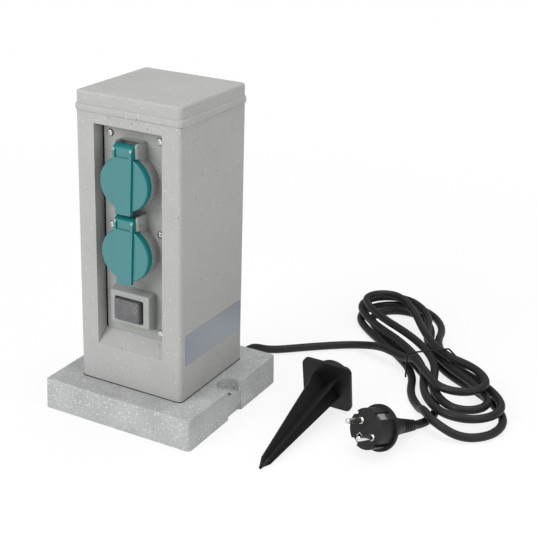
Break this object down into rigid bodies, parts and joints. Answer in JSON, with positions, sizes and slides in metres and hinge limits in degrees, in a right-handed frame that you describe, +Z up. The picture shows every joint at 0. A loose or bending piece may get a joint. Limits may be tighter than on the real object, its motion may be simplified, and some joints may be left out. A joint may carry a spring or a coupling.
{
  "type": "garden socket post",
  "caption": "Square garden power post on a plinth with flap-lidded outlets, a switch under a splash boot, a hanked mains cord with plug and a loose ground spike.",
  "frame": {"origin": "mouth of the spike socket, at the centre of the plinth's underside", "axes": "+Z up along the post, -Y towards the outlets, +X to the outlets' right"},
  "size_m": [0.3897, 0.3997, 0.3048],
  "materials": {
    "stone": "speckled stone-look moulding",
    "panel_grey": "fine matt grey",
    "lid_green": "satin teal green",
    "boot_smoke": "smoky soft splash boot",
    "black_moulding": "black",
    "grey_moulding": "plain grey",
    "cord_rubber": "black rubber",
    "screw_steel": "zinc plated",
    "contact_brass": "plain",
    "plated_pins": "nickel plated",
    "label_foil": "blank silver foil",
    "wire_brown": "brown insulation",
    "wire_blue": "blue insulation",
    "wire_green": "green insulation"
  },
  "bodies": {
    "housing": {"base_plate": "grey_moulding", "base_screws": "screw_steel", "cable_gland": "cord_rubber", "carrier_screws_lower": "screw_steel", "carrier_screws_upper": "screw_steel", "clamp_screws": "screw_steel", "contact_carrier_lower": "black_moulding", "contact_carrier_upper": "black_moulding", "cord_clamp": "grey_moulding", "cord_hank": "cord_rubber", "cord_inside": "cord_rubber", "cord_lead": "cord_rubber", "cord_plug_lead": "cord_rubber", "cord_tie": "screw_steel", "earth_spring_lower": "plated_pins", "earth_spring_upper": "plated_pins", "front_panel": "panel_grey", "gland_nut": "grey_moulding", "hinge_pin_lower": "screw_steel", "hinge_pin_upper": "screw_steel", "lid_spring_lower": "screw_steel", "lid_spring_upper": "screw_steel", "outlet_collar_lower": "panel_grey", "outlet_collar_upper": "panel_grey", "panel_screws": "screw_steel", "pin_contacts_lower": "contact_brass", "pin_contacts_upper": "contact_brass", "plinth": "stone", "plug_body": "cord_rubber", "plug_earth_sleeve": "plated_pins", "plug_earth_strips": "plated_pins", "plug_pins": "plated_pins", "post": "stone", "post_screws": "screw_steel", "side_label": "label_foil", "switch_bezel": "panel_grey", "switch_blades": "contact_brass", "switch_body": "black_moulding", "switch_boot": "boot_smoke", "terminal_block": "grey_moulding", "terminal_screws": "screw_steel", "top_cap": "stone", "wire_earth": "wire_green", "wire_live": "wire_brown", "wire_neutral": "wire_blue"},
    "lid_lower": {"lid_lower": "lid_green", "lid_gasket_lower": "cord_rubber"},
    "lid_upper": {"lid_upper": "lid_green", "lid_gasket_upper": "cord_rubber"},
    "rocker": {"switch_rocker": "black_moulding"},
    "spike": {"ground_spike": "black_moulding"}
  },
  "joints": [
    {"name": "lid_lower_hinge", "type": "hinge", "parent": "housing", "child": "lid_lower", "pos_m": [0, -0.0535, 0.1927], "axis": [-1, 0, 0], "range_deg": [0, 85], "stiffness_Nm_per_rad": 0.01, "springref_deg": -28.65},
    {"name": "lid_upper_hinge", "type": "hinge", "parent": "housing", "child": "lid_upper", "pos_m": [0, -0.0535, 0.2579], "axis": [-1, 0, 0], "range_deg": [0, 85], "stiffness_Nm_per_rad": 0.01, "springref_deg": -28.65},
    {"name": "switch_rocker_tilt", "type": "hinge", "parent": "housing", "child": "rocker", "pos_m": [-0.0009, -0.043, 0.1089], "axis": [0, 0, 1], "range_deg": [-7, 7]},
    {"name": "spike_lift", "type": "slide", "parent": "housing", "child": "spike", "axis": [0, 0, 1], "range_m": [0, 0.15]}
  ]
}
